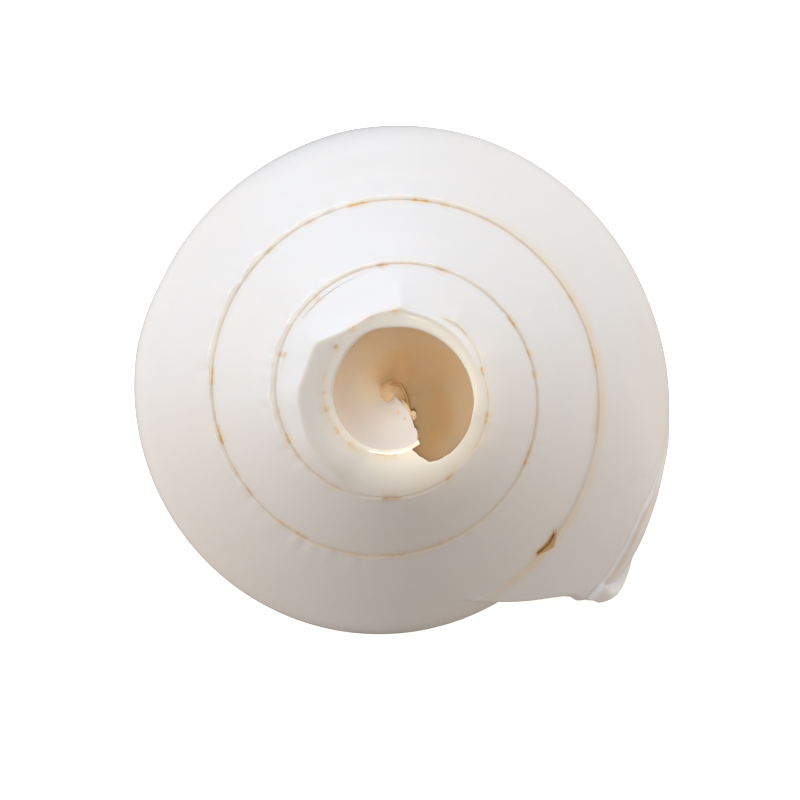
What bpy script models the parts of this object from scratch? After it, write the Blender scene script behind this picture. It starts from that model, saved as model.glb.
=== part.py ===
"""A blowing conch: the heavy white shell of a chank snail, its spire tip cut off flat as a mouthpiece.

The shell is one wall that coils clockwise round an axis, seen from the spire. Each turn of the wall
starts on the turn before it, swells out to its widest ring, and runs in to the axis and down to the
tip of the canal. The wall is swept here as one ribbon and joined with the solid pillar on the axis.

Whorls are counted in turns before the lip: turn 0 is where the seam meets the lip, and turn -1 is one
turn of growth earlier. Down a turn, t runs from 0 at the seam to 1 at the canal tip. Shapes are worked
out in millimetres in the shell's own frame, with the spire along +Z and the cut at z = 0, and then
laid down as the shell rests: on its belly and its lip, with the mouth underneath.
"""

import math

import bmesh
import bpy
import numpy as np
from mathutils import Matrix, Vector

MM = 0.001

# Growth of the coil
LIP_ANGLE = math.radians(-68)   # where the seam meets the lip, anticlockwise from +X seen from the spire
SEAM_RADIUS = 34.9              # radius of the seam at turn 0
GROWTH = 0.343                  # growth rate of the radius, per turn, at turn 0
GROWTH_LOSS = 0.037             # how fast that rate falls, turn by turn
SPIRE_SLOPE = math.tan(math.radians(50))
APEX_HEIGHT = 16.1              # height of the missing spire tip above the cut
WIDEST_OVER_SEAM = 1.089        # a turn's widest ring, over the seam that the next turn lays on it
LAST_TURN_SLOWING = 0.320       # the last turn swells more slowly at first
LAST_TURN_SWELLING = 0.280      # and then catches up towards the lip
LAST_TURN_ONSET = 0.15

# Down one turn of the wall: t at the seam, shoulder, widest ring, three steps of the base, canal and tip
T_KEYS = (0.0, 0.18, 0.30, 0.45, 0.60, 0.75, 0.88, 1.0)
SEAM_BITE = 0.035               # how far the wall starts inside the turn before it, over the seam radius
SEAM_STEP = 0.6                 # height of the ledge along the seam, where the widest radius is LEDGE_RADIUS
SEAM_STEP_KEYS = ((0.0, 0.0), (0.025, 1.0), (0.08, 0.45), (0.14, 0.0), (1.0, 0.0))  # its share at each t
LEDGE_RADIUS = 46.0
LEDGE_POWER = 0.5               # the ledge grows with this power of the widest radius
WIDEST_DEPTH = 1.24             # depth of the widest ring below the apex, in its own radius
BASE = ((0.94, 1.57), (0.69, 1.98))  # radius and depth of the base, both over the widest radius
NECK_AT_FIRST = (0.37, 2.48)    # the same where the base narrows to the canal, up to turn -1
NECK_AT_LAST = (0.43, 2.31)     # and at the lip
PILLAR_DEPTHS = (2.74, 3.00)    # depths where the wall of the inner turns meets and leaves the pillar
PILLAR_BITE = 0.75              # it ends inside the pillar, at this share of the pillar's radius
SHOULDER_PLACE = 0.55           # how far along the line from the seam to the widest ring the shoulder lies
SHOULDER_BULGE = 0.035          # and its rise over that line
CANAL_TURNS = (-1.02, -0.64)    # the turns over which the wall leaves the pillar to close the canal
CANAL = ((13.0, -106.0), (8.5, -127.0))  # radius and height of the canal, at its start and its tip
CANAL_ONSET = (-1.35, -1.02)    # the turns over which the wall reaches down the pillar to the canal's tip

# The lip: where the wall ends, in turns, at each t
LIP = ((0.0, 0.008), (0.06, -0.030), (0.12, -0.060), (0.15, -0.068), (0.18, -0.072), (0.24, -0.085),
       (0.30, -0.106), (0.375, -0.130), (0.45, -0.140), (0.60, -0.130), (0.75, -0.105), (0.88, -0.085),
       (1.0, -0.070))
LIP_BLEND = 0.6                 # the last stretch of the wall, in turns, that slants to meet the lip
CORNER_RADIUS = 46.6            # the shoulder of the lip stands out in a blunt corner
CORNER_HEIGHT = -34.5
CORNER_TURNS = (-0.22, -0.08)   # the turns over which the shoulder swells into the corner
SWELLING_STOPS = -0.16          # the widest ring keeps its radius from here to the lip
RIM_FLARE = 1.4                 # the rim of the lip rolls out by this much
RIM_TURNS = 0.022
RIM_START = (0.13, 0.19)        # the t where the rolled rim rises, in a knob on the corner
RIM_END = (0.80, 0.95)          # the t where it dies out, on the canal

# Wall and pillar
WALL = 2.9                      # thickness of the wall at the lip
LIP_ROUNDING = 0.5              # how far the edge of the lip is rounded out, over its thickness
WALL_POWER = 0.3                # the wall thickens with this power of the radius
SEAM_THINNING = 0.75            # share of the wall left at the seam
CANAL_THINNING = 0.80
FILLED_FROM = (-3.02, -2.98)    # from here on, shell fills the corner between a turn and the one before it
FILLED_DOWN_TO = (-2.0, -5.0)   # and does so down to this height
FILLED_OVERLAP = 0.3            # the fill reaches this far into the turn before
AXIS_GAP = 0.5                  # the wall's inner side stays this far off the axis
PILLAR = ((-5.0, 0.4), (-6.5, 1.3), (-22.0, 2.1), (-42.0, 3.0), (-70.0, 4.2), (-92.0, 4.8), (-112.0, 4.2),
          (-123.0, 3.4), (-125.5, 2.0))
PILLAR_SIDES = 20

# Where the inner turns are broken away behind the cut: where the wall begins, in turns, at each t
BREAK = ((0.0, -3.99), (0.45, -3.99), (0.60, -4.01), (0.75, -4.04), (1.0, -4.10))
BREAK_BLEND = 0.4
BROKEN_THINNING = (-3.25, -3.98, 0.27)  # the wall thins over these turns to this share at the broken edge

# Folds on the pillar, inside the mouth
FOLDS = (0.70, 0.76, 0.82, 0.88)  # the t of each fold
FOLD_TURNS = (-1.45, -1.00)
FOLD_RADIUS = 1.7
FOLD_END = 0.15                 # share of the radius left at the ends of a fold
FOLD_POINTS = 14

# The cut that opens the spire
CUT_TILT = math.radians(4.0)
CUT_TOWARDS = math.radians(225)
CUTTER_SIZE = 60.0

# How the shell lies: rolled about its axis, then its axis raised from level. It touches the ground with
# its belly, the corner of its lip and the tip of its canal.
ROLL = math.radians(-10.3)
RISE = math.radians(18.6)

SHELL_COLOUR = (0.85, 0.82, 0.78, 1.0)
SHELL_ROUGHNESS = 0.3
SHARP_ANGLE = math.radians(35)

# Mesh density
T_STEPS = (0.0, 0.025, 0.08, 0.135, 0.18, 0.21, 0.25, 0.30, 0.37, 0.44, 0.52, 0.60, 0.68, 0.75, 0.82, 0.88,
           0.94, 1.0)
INNER_STEPS_PER_TURN = 20
OUTER_STEPS_PER_TURN = 30
OUTER_FROM_TURN = -1.6
PROFILE_SAMPLES = 30            # points read along the turn before, where the corner is filled
T_TINY = 0.002                  # the step of t that gives the wall's direction
MERGE_DISTANCE = 0.00001        # in metres


def through(keys, values, at):
    """A smooth curve through values at keys, read at each number in at."""
    keys, values, at = (np.asarray(x, float) for x in (keys, values, at))
    slopes = np.gradient(values, keys)
    i = np.clip(np.searchsorted(keys, at, side="right") - 1, 0, len(keys) - 2)
    width = keys[i + 1] - keys[i]
    u = (at - keys[i]) / width
    return ((2 * u**3 - 3 * u**2 + 1) * values[i] + (u**3 - 2 * u**2 + u) * width * slopes[i]
            + (3 * u**2 - 2 * u**3) * values[i + 1] + (u**3 - u**2) * width * slopes[i + 1])


def ramp(value, start, end):
    """0 before start, 1 after end, and smooth between them."""
    u = min(1.0, max(0.0, (value - start) / (end - start)))
    return u * u * (3 - 2 * u)


def seam_radius(turn):
    """Radius of the seam between a turn and the one before it."""
    return SEAM_RADIUS * math.exp(GROWTH * turn - GROWTH_LOSS * turn * turn)


def widest_radius(turn):
    """Radius of a turn's widest ring: the next turn's seam runs just above it."""
    after = min(turn, SWELLING_STOPS) + 1
    last = (after + math.hypot(after, LAST_TURN_ONSET)) / 2
    return (WIDEST_OVER_SEAM * seam_radius(after)
            * math.exp(-LAST_TURN_SLOWING * last + LAST_TURN_SWELLING * last * last))


def pillar_radius(z):
    heights, radii = zip(*reversed(PILLAR))
    return float(np.interp(z, heights, radii))


def profile_keys(turn):
    """The wall's outer side at one turn, as (radius, height) at each of T_KEYS."""
    seam, widest = seam_radius(turn), widest_radius(turn)
    start = (1 - SEAM_BITE) * seam
    start = Vector((start, APEX_HEIGHT - SPIRE_SLOPE * start))
    ring = Vector((widest, APEX_HEIGHT - WIDEST_DEPTH * widest))
    chord = ring - start
    shoulder = start + SHOULDER_PLACE * chord + SHOULDER_BULGE * Vector((-chord.y, chord.x))
    corner = Vector((CORNER_RADIUS, CORNER_HEIGHT))
    shoulder = shoulder.lerp(corner, ramp(turn, *CORNER_TURNS))
    points = [start, shoulder, ring]
    neck = Vector(NECK_AT_FIRST).lerp(Vector(NECK_AT_LAST), ramp(turn, -1, 0))
    points += [Vector((r * widest, APEX_HEIGHT - d * widest)) for r, d in (*BASE, neck)]
    opened, reached = ramp(turn, *CANAL_TURNS), ramp(turn, *CANAL_ONSET)
    for depth, (radius, height) in zip(PILLAR_DEPTHS, CANAL):
        z = (APEX_HEIGHT - depth * widest) * (1 - reached) + height * reached
        in_pillar = PILLAR_BITE * pillar_radius(z)
        points.append(Vector((in_pillar * (1 - opened) + radius * opened, z)))
    return points


def curve_points(turn, t):
    keys = profile_keys(turn)
    return np.stack([through(T_KEYS, [k[i] for k in keys], t) for i in (0, 1)], axis=1)


def wall_thickness(turn, t):
    full = WALL * (widest_radius(turn) / widest_radius(0.0)) ** WALL_POWER
    start, end, share = BROKEN_THINNING
    at_break = 1 - (1 - share) * ramp(-turn, -start, -end)
    at_seam = SEAM_THINNING + (1 - SEAM_THINNING) * np.clip(t / T_KEYS[1], 0, 1)
    at_canal = 1 - (1 - CANAL_THINNING) * np.clip((t - T_KEYS[4]) / (T_KEYS[6] - T_KEYS[4]), 0, 1)
    return full * at_break * at_seam * at_canal


def section(turn, t, flare=0.0):
    """Outer and inner side of the wall at one turn and one t, as (radius, height)."""
    before, outer, after = curve_points(turn, np.array([t - T_TINY, t, t + T_TINY]).clip(0, 1))
    along = (after - before) / np.linalg.norm(after - before)
    inward = np.array([along[1], -along[0]])
    step = SEAM_STEP * (widest_radius(turn) / LEDGE_RADIUS) ** LEDGE_POWER
    outer = outer - inward * step * np.interp(t, *zip(*SEAM_STEP_KEYS))
    inner = outer + inward * wall_thickness(turn, t)
    filled = ramp(turn, *FILLED_FROM) * ramp(inner[1], FILLED_DOWN_TO[1], FILLED_DOWN_TO[0])
    if filled and t < T_KEYS[3]:
        previous = curve_points(turn - 1, np.linspace(T_KEYS[2], T_KEYS[5], PROFILE_SAMPLES))
        wall = np.interp(-inner[1], -previous[:, 1], previous[:, 0]) - FILLED_OVERLAP
        inner[0] -= filled * max(0.0, inner[0] - wall)
    inner[0] = max(inner[0], AXIS_GAP)
    return outer - inward * flare, inner


def in_space(turn, radius, z):
    angle = LIP_ANGLE - math.tau * turn
    return np.array([radius * math.cos(angle), radius * math.sin(angle), z])


def stages():
    """The steps of growth at which the wall has a row of points."""
    first = BREAK[0][1]
    inner_steps = round((OUTER_FROM_TURN - first) * INNER_STEPS_PER_TURN)
    outer_steps = round(-OUTER_FROM_TURN * OUTER_STEPS_PER_TURN)
    inner = np.linspace(first, OUTER_FROM_TURN, inner_steps, endpoint=False)
    outer = np.linspace(OUTER_FROM_TURN, -RIM_TURNS, outer_steps)
    return np.concatenate([inner, outer, [-RIM_TURNS / 2, 0.0]])


def wall_rows():
    """Outer and inner rows of points for each step of growth, from the broken edge to the lip."""
    t = np.array(T_STEPS)
    lip, broken = through(*zip(*LIP), t), through(*zip(*BREAK), t)
    first = broken[0]
    rim = np.array([ramp(x, *RIM_START) * (1 - ramp(x, *RIM_END)) for x in t])
    rows = []
    for stage in stages():
        turns = (stage + lip * ramp(stage, -LIP_BLEND, 0)
                 + (broken - first) * (1 - ramp(stage, first, first + BREAK_BLEND)))
        flare = RIM_FLARE * ramp(stage, -RIM_TURNS, 0) * rim
        outer, inner = [], []
        for item in zip(turns, t, flare):
            on_outer, on_inner = section(*item)
            outer.append(in_space(item[0], *on_outer))
            inner.append(in_space(item[0], *on_inner))
        rows.append((np.array(outer), np.array(inner)))
    return rows


def loft(name, rows, rounded=0.0):
    """A closed wall through rows of points on its two sides. Its far end stands out in a rounded ridge."""
    mesh = bmesh.new()
    sides = [[[mesh.verts.new(Vector(p) * MM) for p in side] for side in row] for row in rows]
    for (outer, inner), (next_outer, next_inner) in zip(sides, sides[1:]):
        for i in range(len(outer) - 1):
            mesh.faces.new((outer[i], next_outer[i], next_outer[i + 1], outer[i + 1]))
            mesh.faces.new((inner[i + 1], next_inner[i + 1], next_inner[i], inner[i]))
        mesh.faces.new((outer[0], inner[0], next_inner[0], next_outer[0]))
        mesh.faces.new((outer[-1], next_outer[-1], next_inner[-1], inner[-1]))
    outer, inner = sides[0]
    for i in range(len(outer) - 1):
        mesh.faces.new((outer[i], outer[i + 1], inner[i + 1], inner[i]))
    outer, inner = sides[-1]
    (end, end_inner), (before, _) = rows[-1], rows[-2]
    forward = (end - before) / np.linalg.norm(end - before, axis=1)[:, None]
    thickness = np.linalg.norm(end - end_inner, axis=1)[:, None]
    crest = (end + end_inner) / 2 + forward * thickness * rounded
    ridge = [mesh.verts.new(Vector(p) * MM) for p in crest]
    for i in range(len(outer) - 1):
        mesh.faces.new((outer[i], ridge[i], ridge[i + 1], outer[i + 1]))
        mesh.faces.new((ridge[i], inner[i], inner[i + 1], ridge[i + 1]))
    mesh.faces.new((outer[0], inner[0], ridge[0]))
    mesh.faces.new((inner[-1], outer[-1], ridge[-1]))
    bmesh.ops.recalc_face_normals(mesh, faces=mesh.faces)
    bmesh.ops.triangulate(mesh, faces=mesh.faces)
    return as_object(name, mesh)


def as_object(name, mesh):
    data = bpy.data.meshes.new(name)
    mesh.to_mesh(data)
    mesh.free()
    return bpy.data.objects.new(name, data)


def make_pillar():
    """The solid pillar on the axis that every turn joins: a turned shape."""
    (top, _), (bottom, _) = PILLAR[0], PILLAR[-1]
    mesh = bmesh.new()
    corners = [mesh.verts.new((r * MM, 0, z * MM)) for z, r in ((top, 0), *PILLAR, (bottom, 0))]
    for ends in zip(corners, corners[1:]):
        mesh.edges.new(ends)
    pillar = as_object("pillar", mesh)
    turned = pillar.modifiers.new("turned", "SCREW")
    turned.steps = turned.render_steps = PILLAR_SIDES
    turned.use_merge_vertices = True
    turned.merge_threshold = MERGE_DISTANCE
    return pillar


def make_fold(t):
    """A low ridge that winds on the pillar, tapered at both ends."""
    curve = bpy.data.curves.new("fold", "CURVE")
    curve.dimensions = "3D"
    curve.bevel_depth = FOLD_RADIUS * MM
    curve.bevel_resolution = 1
    curve.use_fill_caps = True
    line = curve.splines.new("POLY")
    line.points.add(FOLD_POINTS - 1)
    for i, point in enumerate(line.points):
        along = i / (FOLD_POINTS - 1)
        turn = FOLD_TURNS[0] + (FOLD_TURNS[1] - FOLD_TURNS[0]) * along
        (radius, z), _ = section(turn, t)
        point.co = (*(in_space(turn, radius, z) * MM), 1.0)
        point.radius = FOLD_END + (1 - FOLD_END) * math.sqrt(math.sin(math.pi * along))
    tube = bpy.data.objects.new("fold", curve)
    bpy.context.scene.collection.objects.link(tube)
    data = bpy.data.meshes.new_from_object(tube.evaluated_get(bpy.context.evaluated_depsgraph_get()))
    bpy.data.objects.remove(tube)
    mesh = bmesh.new()
    mesh.from_mesh(data)
    bmesh.ops.remove_doubles(mesh, verts=mesh.verts, dist=MERGE_DISTANCE)
    return as_object("fold", mesh)


def make_cutter():
    """A block over everything above the cut."""
    mesh = bmesh.new()
    bmesh.ops.create_cube(mesh, size=CUTTER_SIZE * MM)
    tilt = Matrix.Rotation(CUT_TILT, 4, Vector((-math.sin(CUT_TOWARDS), math.cos(CUT_TOWARDS), 0)))
    mesh.transform(tilt @ Matrix.Translation((0, 0, CUTTER_SIZE / 2 * MM)))
    return as_object("cutter", mesh)


def boolean(target, other, operation):
    modifier = target.modifiers.new(other.name, "BOOLEAN")
    modifier.object = other
    modifier.operation = operation
    modifier.solver = "EXACT"
    modifier.use_self = True


def lay_down(rest, shell):
    """Turn the shell as it lies, its spire towards -Y, and bring it down on the origin."""
    turned = Matrix.Rotation(math.pi / 2 - RISE, 4, "X") @ Matrix.Rotation(ROLL, 4, "Z")
    rest.rotation_euler = turned.to_euler()
    bpy.context.view_layer.update()
    lying = shell.evaluated_get(bpy.context.evaluated_depsgraph_get())
    points = np.array([lying.matrix_world @ vertex.co for vertex in lying.data.vertices])
    low, high = points.min(axis=0), points.max(axis=0)
    rest.location = (-(low[0] + high[0]) / 2, -(low[1] + high[1]) / 2, -low[2])
    bpy.context.view_layer.update()


def shell_material():
    material = bpy.data.materials.new("polished shell")
    material.use_nodes = True
    surface = material.node_tree.nodes["Principled BSDF"]
    surface.inputs["Base Color"].default_value = SHELL_COLOUR
    surface.inputs["Roughness"].default_value = SHELL_ROUGHNESS
    surface.inputs["Metallic"].default_value = 0.0
    return material


def build():
    for thing in list(bpy.data.objects):
        bpy.data.objects.remove(thing)
    collection = bpy.data.collections.new("Conch shell")
    cutters = bpy.data.collections.new("Cutters")
    for item in (collection, cutters):
        bpy.context.scene.collection.children.link(item)
    shell = loft("shell", wall_rows(), rounded=LIP_ROUNDING)
    shell.data.materials.append(shell_material())
    added = [make_pillar()] + [make_fold(t) for t in FOLDS]
    cutter = make_cutter()
    rest = bpy.data.objects.new("lying", None)
    collection.objects.link(shell)
    collection.objects.link(rest)
    for thing in [*added, cutter]:
        cutters.objects.link(thing)
        thing.hide_render = True
        thing.display_type = "WIRE"
    for thing in [shell, *added, cutter]:
        thing.parent = rest
    for thing in added:
        boolean(shell, thing, "UNION")
    boolean(shell, cutter, "DIFFERENCE")
    lay_down(rest, shell)
    shell.data.shade_smooth()
    shell.data.set_sharp_from_angle(angle=SHARP_ANGLE)


build()
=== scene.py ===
"""The finish of a blowing conch: the polished white shell of a chank snail with its spire tip sawn off.

The shell lies on its belly and the corner of its lip, mouth down, and shows its sawn spire. It is
shaped again here from the rules of its growth, finer than the solid it stands for: with the chipped
ledge along the seam, the rolled rim of the lip, the ground ring round the blow hole and the broken
inner turn behind it. Lengths are in millimetres in the shell's own frame, with the spire along +Z and
the cut at z = 0. Whorls are counted in turns before the lip. Down a turn, t runs from 0 at the seam to
1 at the canal tip.
"""

import functools
import math

import bmesh
import bpy
import numpy as np
from mathutils import Matrix, Vector, kdtree


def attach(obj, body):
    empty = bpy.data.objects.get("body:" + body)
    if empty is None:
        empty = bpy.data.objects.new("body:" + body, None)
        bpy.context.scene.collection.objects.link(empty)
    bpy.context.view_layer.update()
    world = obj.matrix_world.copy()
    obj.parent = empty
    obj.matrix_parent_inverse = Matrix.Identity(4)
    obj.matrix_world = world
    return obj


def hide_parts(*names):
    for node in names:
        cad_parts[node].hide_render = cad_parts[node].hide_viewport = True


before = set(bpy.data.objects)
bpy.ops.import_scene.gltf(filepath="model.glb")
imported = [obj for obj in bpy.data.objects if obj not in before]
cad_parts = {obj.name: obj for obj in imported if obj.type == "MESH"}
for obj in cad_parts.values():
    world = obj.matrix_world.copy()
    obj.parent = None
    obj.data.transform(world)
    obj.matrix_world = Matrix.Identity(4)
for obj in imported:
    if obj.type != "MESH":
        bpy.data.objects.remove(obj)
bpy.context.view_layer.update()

MM = 0.001

# How the shell lies, and where the middle of its cut is, in metres
ROLL = math.radians(-10.3)
RISE = math.radians(18.6)
CUT_MIDDLE = Vector((-0.003107, -0.059533, 0.047015))
LYING = (Matrix.Translation(CUT_MIDDLE) @ Matrix.Rotation(math.pi / 2 - RISE, 4, "X")
         @ Matrix.Rotation(ROLL, 4, "Z"))

# Growth of the coil
LIP_ANGLE = math.radians(-68)
SEAM_RADIUS = 34.9
GROWTH = 0.343
GROWTH_LOSS = 0.037
SPIRE_SLOPE = math.tan(math.radians(50))
APEX_HEIGHT = 16.1
WIDEST_OVER_SEAM = 1.089
LAST_TURN_SLOWING = 0.32
LAST_TURN_SWELLING = 0.28
LAST_TURN_ONSET = 0.15
SWELLING_STOPS = -0.16

# Down one turn of the wall
T_KEYS = (0.0, 0.18, 0.3, 0.45, 0.6, 0.75, 0.88, 1.0)
SEAM_BITE = 0.035
WIDEST_DEPTH = 1.24
BASE = ((0.94, 1.57), (0.69, 1.98))
NECK_AT_FIRST = (0.37, 2.48)
NECK_AT_LAST = (0.43, 2.31)
PILLAR_DEPTHS = (2.74, 3.0)
PILLAR_BITE = 0.75
SHOULDER_PLACE = 0.55
SHOULDER_BULGE = 0.035
CANAL_TURNS = (-1.02, -0.64)
CANAL = ((13.0, -106.0), (8.5, -127.0))
CANAL_ONSET = (-1.35, -1.02)

# The seam strays from its even spiral, in mm at these turns
SEAM_STRAYS = (
    (-2.5, 0.0), (-2.42, 0.5), (-2.36, 1.0), (-2.31, 1.3), (-2.26, 0.7), (-2.23, -0.1), (-2.17, 0.2),
    (-2.1, 0.0), (-2.07, -0.7), (-2.03, -0.1), (-1.98, -0.2), (-1.92, -0.4), (-1.86, -0.1), (-1.8, 0.0))

# The widest part of the last turn strays from its even spiral, in mm at these turns
WIDEST_STRAYS = (
    (-0.66, 0.0), (-0.61, -0.7), (-0.56, -0.6), (-0.52, -0.4), (-0.49, -0.1), (-0.46, 0.3), (-0.38, 0.6),
    (-0.3, 0.3), (-0.24, 0.0), (-0.16, 0.1), (-0.13, 0.35), (-0.1, -0.3))

# The bevelled ledge above the seam: its width and the share of it that is chipped off, at these turns
LEDGE_WIDTHS = (
    (-2.45, 0.5), (-2.15, 0.6), (-1.93, 0.6), (-1.78, 0.95), (-1.7, 1.5), (-1.62, 1.45), (-1.53, 1.0),
    (-1.38, 0.8), (-1.2, 0.8), (-1.1, 0.85), (-0.95, 0.8), (-0.75, 1.0), (-0.62, 1.3), (-0.55, 1.35),
    (-0.42, 1.1), (-0.33, 0.6), (-0.25, 0.4), (-0.08, 0.4), (-0.05, 0.2), (0.0, 0.12))
CHIPPED = (
    (-2.4, 0.4), (-1.85, 0.45), (-1.5, 0.3), (-1.0, 0.35), (-0.85, 0.6), (-0.5, 0.6), (-0.45, 0.3),
    (-0.3, 0.25), (-0.1, 0.12), (0.0, 0.05))
CHIP_LENGTH = 2.4
CHIP_STEPS = ((1.0, 0.6), (1.6, 0.4))  # how much finer the chips are, and how steep, across and up
LEDGE_STEEPNESS = 0.34
LEDGE_FADES = 5.0
CREVICE_DEPTH = 0.12
CREVICE_REACH = ((-1.0, -0.3), (0.0, 0.4))  # where it deepens and where it rises again, in mm

# The three-cornered pit in the seam behind the lip: where it starts and ends, and its size in mm
PIT_TURNS = (-0.079, -0.057)
PIT_WIDEST = 0.4  # how far along it is widest
PIT_WIDTH = 1.25
PIT_TAPER = 0.12  # the share of the width left at both ends
PIT_DEPTH = 0.9
PIT_ENDS = ((-0.05, 0.2), (0.8, 1.05))
PIT_FLOOR = 0.3  # the share of its width that is flat
PIT_SPILL = 0.15  # how far its slope reaches past its width
PIT_BURIED = (-1.3, -0.5)
PIT_NEAR = 5.0  # how near in height a coloured place is
# The colour of the pit: its ends along it, its sides across it, and the darker middle
PIT_COLOR_ENDS = ((-0.08, 0.02), (0.98, 1.08))
PIT_COLOR_SIDES = ((-0.35, -0.1), (0.8, 1.2))
PIT_MIDDLE = (0.1, 0.55)
PIT_PALE = 0.45

# How yellow the band below the seam is, before and behind the pit, and where its edges are, in mm
BANDS = (
    (-0.4, 0.0), (-0.33, 0.4), (-0.27, 0.8), (-0.2, 0.55), (-0.12, 0.6), (-0.05, 0.7), (-0.02, 0.5),
    (0.0, 0.0))
BAND_EDGES = ((-0.1, 0.3), (0.6, 1.9))

# The lip: the turn of its edge at each t, and the last turns of wall that slant to meet it
LIP = (
    (0.0, 0.008), (0.06, -0.03), (0.12, -0.06), (0.15, -0.0625), (0.18, -0.067), (0.24, -0.084),
    (0.3, -0.106), (0.375, -0.13), (0.45, -0.14), (0.6, -0.13), (0.75, -0.105), (0.88, -0.085),
    (1.0, -0.07))
LIP_BLEND = 0.6
# The knob on the lip: the shoulder moves to this radius and height over these turns
CORNER_RADIUS = 46.6
CORNER_HEIGHT = -34.5
CORNER_TURNS = (-0.22, -0.08)
# The rolled rim: the t where it rises and dies out, and its height at each t and its width, in mm
RIM_START = (0.1, 0.13)
RIM_END = (0.8, 0.95)
BEAD_HEIGHTS = (
    (0.149, 0.0), (0.156, 0.5), (0.164, 1.4), (0.175, 1.65), (0.19, 1.5), (0.22, 1.1), (0.26, 0.7),
    (0.3, 0.3), (0.36, 0.05))
BEAD_WIDTH = 3.2
BEAD_SHAPE = 2.6  # 2 is round, and more is flatter on top
DIP_DEPTH = 0.1
DIP_REACH = 8.0  # how far behind the bead the wall dips a little
# The collar below the shoulder near the lip: how far from the crevice it starts, in mm at these stages of
# growth, and the stages over which it rises
COLLAR_LINE = (
    (-0.072, 19.0), (-0.066, 16.2), (-0.06, 14.9), (-0.054, 14.2), (-0.045, 13.6), (-0.03, 13.3),
    (-0.012, 13.4), (0.0, 13.2))
COLLAR_END = (-0.071, -0.064)
COLLAR_LAG = -0.064  # the turn at the collar less the stage
COLLAR_HEIGHT = 0.42
COLLAR_STEP = 0.4
COLLAR_FADES = (3.5, 8.0)
COLLAR_GROOVE = 0.14  # how deep the groove before it is, where, and how wide
COLLAR_GROOVE_AT = -0.3
COLLAR_GROOVE_WIDTH = 0.25
LIP_ROUNDING = 0.5

# Wall and pillar
WALL = 2.9
WALL_POWER = 0.3
SEAM_THINNING = 0.75
CANAL_THINNING = 0.8
FILLED_FROM = (-3.02, -2.98)
FILLED_DOWN_TO = (-2.0, -5.0)
FILLED_OVERLAP = 0.3
AXIS_GAP = 0.5
# The pillar's radius at each height
PILLAR = (
    (-7.0, 0.12), (-7.4, 0.5), (-7.9, 1.1), (-8.6, 1.7), (-9.8, 2.2), (-22.0, 2.3), (-42.0, 3.0),
    (-70.0, 4.2), (-92.0, 4.8), (-112.0, 4.2), (-123.0, 3.4), (-125.5, 2.0))
PILLAR_SIDES = 64
PILLAR_ROWS = 120

# The broken inner turn: its edge, how ragged that is, and its floor, which is shallower than in later turns
BREAK = ((0.0, -3.99), (0.45, -4.005), (0.6, -4.03), (0.75, -4.05), (1.0, -4.12))
BREAK_BLEND = 0.4
JAGS = 45
JAG_FINER = 2.3  # and smaller jags on the jags
JAG_SHARE = 0.5
JAG_TURNS = 0.016
JAG_BLEND = 0.08
SHALLOW_TURNS = (-3.2, -3.7)
SHALLOW_NECK = (0.42, 2.2)
SHALLOW_DEPTHS = (2.38, 2.46)
# How much of its plain radius that turn keeps, and the wall's thickness round the hole, in mm
WAIST = ((-3.85, 1.0), (-3.72, 0.965), (-3.6, 0.93), (-3.5, 0.95), (-3.4, 1.0))
HOLE_WALL = (
    (-3.99, 0.5), (-3.88, 0.75), (-3.78, 1.0), (-3.68, 1.25), (-3.6, 1.58), (-3.58, 1.68), (-3.46, 2.25),
    (-3.44, 2.28), (-3.36, 1.93), (-3.3, 1.64), (-3.27, 1.47), (-3.18, 1.05), (-3.17, 1.04), (-3.07, 1.4),
    (-3.04, 1.75), (-3.01, 2.2), (-2.95, 2.0))
HOLE_WALL_BLEND = (-2.95, -2.7)

# Folds on the pillar
FOLDS = (0.7, 0.76, 0.82, 0.88)
FOLD_TURNS = (-1.45, -1.0)
FOLD_RADIUS = 1.7
FOLD_END = 0.15  # the share of the radius left at both ends
FOLD_POINTS = 48

# The curl on top of the pillar, as points with their radius, and lumps beside it, in mm
CURL = (
    (-0.35, 1.5, -7.2, 0.12), (0.1, 1.62, -7.2, 0.24), (0.64, 1.57, -7.3, 0.27), (1.24, 1.32, -7.45, 0.24),
    (1.69, 0.71, -7.5, 0.24), (2.0, -0.05, -7.4, 0.24), (2.2, -0.8, -6.7, 0.26), (2.35, -1.5, -5.9, 0.26),
    (2.5, -2.2, -5.2, 0.2))
EDGE_CURL = (
    (1.5, -0.9, -6.3, 0.2), (1.9, -1.7, -5.6, 0.4), (2.3, -2.5, -5.15, 0.42), (2.75, -3.2, -4.9, 0.35))
LUMPS = ((3.05, -3.1, -5.1, 0.65), (2.1, -3.75, -4.75, 0.55), (1.1, -2.75, -5.75, 0.6))
LUMP_SQUASH = (0.8, 1.15, 0.5)
LUMP_FINENESS = 3
CURL_POINTS = 40
TUBE_FINENESS = 4
# The turn, t and darkness that each of these has all over
# Darkness lays on brown: partly the edge's own, partly painted shade by the curl and on the lit pillar top
PILLAR_MARK = (-3.2, 0.9, 0.45)
CURL_MARK = (-3.2, 0.9, 1.0)
EDGE_MARK = (-3.2, 0.9, 0.35)
FOLD_MARK = (-1.2, 0.9, 0.0)

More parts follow.
